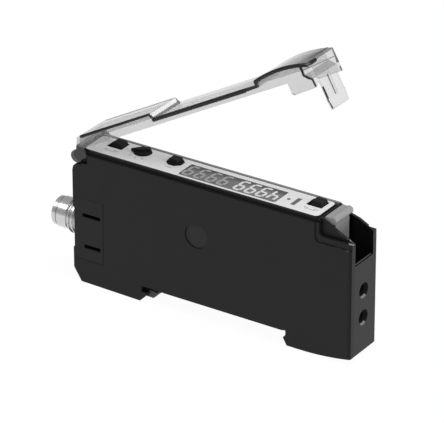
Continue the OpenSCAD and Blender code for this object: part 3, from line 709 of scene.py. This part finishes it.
# Form of the thread in shares of its depth: its height with no flat crest, and its fall in half a pitch
CREST_HEIGHT = 1.65
CREST_FALL = 2.0
# Chamfer in which the thread runs out at both ends
RUNOUT = 0.35
RUNOUT_DEPTH = 0.3
# Steps round the ring and along its thread
RING_STEPS = 72
THREAD_STEPS = 48
# Radius of each corner and its distance from the tip: the plug end from its inner rim to the groove
PLUG_END = [
    (2.7, 0.0), (3.1, 0.0), (3.3, 0.2), (3.3, 1.1), (3.0, 1.1), (3.0, 1.4),
    (3.42, 1.4), (3.5, 1.48), (3.5, 3.82), (3.42, 3.9), (3.1, 3.9), (3.1, 4.4)]
# Radius of the tail and of the passage through it, the socket's own and how deep its floor lies
TAIL_R = 2.6
PASSAGE_R = 1.9
SOCKET_R = 2.7
SOCKET_DEPTH = 5.85


def thread_cut(x, share):
    """How far the thread lies under its outer radius, at x and at a share of one turn."""
    phase = (x / THREAD_PITCH + share) % 1.0
    crest = min(1.0, max(0.0, CREST_HEIGHT - CREST_FALL * abs(2.0 * phase - 1.0)))
    ease = min(1.0, (x - GROOVE_X) / RUNOUT, (FLANGE_X - x) / RUNOUT)
    return THREAD_DEPTH * (1.0 - crest) + RUNOUT_DEPTH * (1.0 - ease)


def threaded_ring(bm):
    """Turned ring from the plug end over the thread to the tail, and back through the socket."""
    stations = [(radius, TIP_X + along, False) for radius, along in PLUG_END]
    for i in range(THREAD_STEPS + 1):
        stations.append((THREAD_R, GROOVE_X + (FLANGE_X - GROOVE_X) * i / THREAD_STEPS, True))
    floor_x = TIP_X + SOCKET_DEPTH
    inside = [
        (TAIL_R, FLANGE_X), (TAIL_R, TAIL_X), (PASSAGE_R, TAIL_X),
        (PASSAGE_R, floor_x), (SOCKET_R, floor_x)]
    stations += [(radius, x, False) for radius, x in inside]
    rings = []
    for radius, x, threaded in stations:
        ring = []
        for k in range(RING_STEPS):
            share = k / RING_STEPS
            r = radius - thread_cut(x, share) if threaded else radius
            angle = 2 * math.pi * share
            point = Vector((x, r * math.sin(angle), CONNECTOR_Z + r * math.cos(angle)))
            ring.append(bm.verts.new(point * MM))
        rings.append(ring)
    for one, two in zip(rings, rings[1:] + rings[:1]):
        band(bm, one, two)


connector_ring = piece("connector_ring", threaded_ring, nickel)
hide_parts("connector_shell")

# The closed cover: its outer faces, the tops of its raised and middle parts, and the arch of its end
COVER_Y = box("dust_cover")[1].y
COVER_TOP = 30.65
COVER_MID = 29.4
ARCH_R = 31.0
ARCH_X = 25.175
ARCH_Z = 0.3
# Along the closed cover: its raised part, its middle part, its arched edge, its end and its tab
RAISED_X = (-32.4, -12.0)
MIDDLE_X = (-11.75, 14.5)
ARCHED_X = (17.9, 30.6)
ARCHED_STEPS = 18
COVER_END_X = 32.3
TAB_X = 32.42
# How far a line along an edge stands out of the sheet, and how far a line across it stays inside
PROUD = 0.16
INSET = 0.15
INSIDE_Y = COVER_Y - INSET
FRONT = -1
BACK = 1


def opened(point):
    """A point of the closed cover, carried to where the open cover holds it, in metres."""
    x, y, z = point
    across = x - HINGE_X
    up = z - HINGE_Z
    c = math.cos(COVER_OPEN)
    s = math.sin(COVER_OPEN)
    return Vector((HINGE_X + across * c - up * s, y, HINGE_Z + across * s + up * c)) * MM


def arch_height(x):
    return ARCH_Z + math.sqrt(ARCH_R ** 2 - (x - ARCH_X) ** 2)


def edge(radius, x, z, side=FRONT):
    """Point of a line along an upper corner of the cover: its radius, then its place."""
    return (radius, x, side * (COVER_Y + PROUD - radius), z + PROUD - radius)


def crossing(radius, x, z):
    """Line from the front to the back of the cover."""
    return [(radius, x, -INSIDE_Y, z), (radius, x, INSIDE_Y, z)]


def dark_edges():
    """Dark lines where the cover's edges trap the light."""
    raised = [edge(0.36, x, COVER_TOP) for x in RAISED_X]
    raised_end = [edge(0.30, -11.7, 29.7)]
    middle = [edge(0.47, MIDDLE_X[0], COVER_MID), edge(0.50, MIDDLE_X[1], COVER_MID)]
    riser = [
        edge(0.42, MIDDLE_X[1], COVER_MID), edge(0.48, 17.95, 29.5), edge(0.50, 18.05, arch_height(18.05))]
    start, end = ARCHED_X
    spread = [start + (end - start) * i / ARCHED_STEPS for i in range(ARCHED_STEPS + 1)]
    arched = [edge(0.44, x, arch_height(x)) for x in spread]
    flap = [
        edge(0.28, 30.6, 30.9), edge(0.28, 30.5, 28.5), edge(0.28, 31.4, 27.7), edge(0.24, 32.2, 27.2),
        edge(0.20, COVER_END_X, 25.5)]
    corner = [
        edge(0.44, end, arch_height(end)), edge(0.48, 32.2, arch_height(32.2)),
        (0.50, COVER_END_X, -3.4, 30.2), (0.44, COVER_END_X, -1.6, 30.2)]
    back_end = [
        edge(0.13, COVER_END_X, 30.4, BACK), edge(0.20, COVER_END_X, 28.3, BACK),
        edge(0.30, COVER_END_X, 27.3, BACK)]
    back_dash = [edge(0.18, COVER_END_X, 26.3, BACK), edge(0.14, COVER_END_X, 25.2, BACK)]
    tab = [
        (0.20, TAB_X, -3.05, 24.7), (0.22, TAB_X, -3.05, 22.2), (0.13, TAB_X, -3.25, 21.6),
        (0.13, TAB_X, -3.05, 21.0), (0.17, TAB_X, -2.9, 19.75)]
    return [raised + raised_end, middle, riser, arched, flap, corner, back_end, back_dash, tab]


def grey_edges():
    """Paler lines of painted shade at the steps in the cover's top, at its hinge and along its far edges."""
    step = [
        (0.13, -11.85, -INSIDE_Y, 30.55), (0.16, -11.85, INSIDE_Y, 30.55), (0.30, -11.55, INSIDE_Y, 29.4)]
    step_foot = crossing(0.34, -11.35, 29.35)
    far_top = [(0.08, x, INSIDE_Y, 30.5) for x in RAISED_X]
    hinge_low = crossing(0.25, -34.9, 28.1)
    hinge_high = crossing(0.27, -34.64, 28.58)
    arch_end = [(0.16, 30.75, -1.0, 30.75), (0.14, 31.3, INSIDE_Y, 30.75)]
    end_top = [(0.16, 32.4, -1.6, 30.3), (0.12, 32.4, INSIDE_Y, 30.3)]
    tab_rib = [(0.15, 32.75, -0.5, 26.3), (0.11, 32.75, -0.5, 22.0)]
    end_line = [(0.12, 30.75, -4.5, 29.4), (0.12, COVER_END_X, INSIDE_Y, 28.6)]
    return [step, step_foot, far_top, hinge_low, hinge_high, arch_end, end_top, tab_rib, end_line]


def cover_lines(name, material, lines):
    """Bars of painted shade sunk into the clear sheet along the lines, each a list of points with the bar's radius
    there.
    """
    curve = bpy.data.curves.new(name, "CURVE")
    curve.dimensions = "3D"
    curve.bevel_depth = MM
    curve.bevel_resolution = 2
    curve.use_fill_caps = True
    for points in lines:
        spline = curve.splines.new("POLY")
        spline.points.add(len(points) - 1)
        for place, (radius, *point) in zip(spline.points, points):
            place.co = (*opened(point), 1.0)
            place.radius = radius
    curve.materials.append(material)
    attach(show(name, curve), "dust_cover")


cover_lines("cover_dark_edges", cover_edge("cover_dark_edge", level=0.008, alpha=0.90), dark_edges())
cover_lines("cover_grey_edges", cover_edge("cover_grey_edge", level=0.10, alpha=0.55), grey_edges())

# The studio, in metres apart from the camera's sensor
FLOOR_HALF = 3.0
# Share of plain white in the floor as it is seen; the rest takes the object's shadow
FLOOR_WHITE = 0.96
ROOM_LIGHT = 0.45
LAMP_AIM = Vector((0.0, 0.0, 0.015))
# The camera of the photograph: its focal length and picture width in pixels, its place and where it looks
FOCAL_PX = 3836.05
PICTURE_WIDTH_PX = 444.0
SENSOR_WIDTH = 36.0
EYE = Vector((0.395858, -0.604755, 0.388348))
LOOK = Vector((-0.489766, 0.745062, -0.452783)).normalized()


def floor_finish():
    """Floor that is seen as nearly white, also in metal and clear parts, and lights as matte white."""
    f = Finish("floor_white", Base_Color=grey(0.8), Roughness=0.9)
    camera_ray, glossy_ray, clear_ray = (
        f.node("ShaderNodeLightPath", output=name)
        for name in ("Is Camera Ray", "Is Glossy Ray", "Is Transmission Ray"))
    seen = camera_ray.math("MAXIMUM", camera_ray.math("MAXIMUM", camera_ray, glossy_ray), clear_ray)
    white = f.node("ShaderNodeEmission", {}, {"Color": grey(1.0), "Strength": 1.0}, "Emission")
    matte = Tone(f, f.surface.outputs[0])
    mixed = f.node("ShaderNodeMixShader", {}, {0: FLOOR_WHITE * seen, 1: matte, 2: white}, "Shader")
    f.feed(f.tree.nodes["Material Output"].inputs["Surface"], mixed)
    return f.material


def floor():
    """Wide floor under the object's lowest point."""
    sides = [(-1, -1), (1, -1), (1, 1), (-1, 1)]
    corners = [(x * FLOOR_HALF, y * FLOOR_HALF, cad_box[0].z) for x, y in sides]
    mesh = bpy.data.meshes.new("floor")
    mesh.from_pydata(corners, [], [(0, 1, 2, 3)])
    mesh.materials.append(floor_finish())
    show("floor", mesh)


def room():
    """Even white light from all round."""
    world = bpy.data.worlds.new("studio")
    bpy.context.scene.world = world
    world.use_nodes = True
    background = world.node_tree.nodes["Background"]
    background.inputs["Color"].default_value = grey(1.0)
    background.inputs["Strength"].default_value = ROOM_LIGHT


def aim(made, place, direction):
    """Puts a lamp or the camera in its place, looking one way."""
    made.location = place
    made.rotation_mode = "QUATERNION"
    made.rotation_quaternion = direction.to_track_quat("-Z", "Y")


def lamp(name, place, size, power):
    """Square soft lamp that points at the object."""
    data = bpy.data.lights.new(name, "AREA")
    data.shape = "RECTANGLE"
    data.size = size
    data.size_y = size
    data.energy = power
    aim(show(name, data), place, LAMP_AIM - Vector(place))


def photo_camera():
    lens = bpy.data.cameras.new("camera")
    lens.sensor_width = SENSOR_WIDTH
    lens.lens = FOCAL_PX / PICTURE_WIDTH_PX * SENSOR_WIDTH
    lens.clip_start = 0.05
    lens.clip_end = 20.0
    eye = show("camera", lens)
    aim(eye, EYE, LOOK)
    bpy.context.scene.camera = eye


floor()
room()
lamp("lamp_above", place=(0.10, -0.05, 0.60), size=0.5, power=4.0)
lamp("lamp_left", place=(-0.34, -0.26, 0.49), size=0.24, power=0.6)
lamp("lamp_right", place=(0.55, -0.05, 0.22), size=0.35, power=2.2)
photo_camera()
bpy.context.scene.view_settings.view_transform = "Standard"
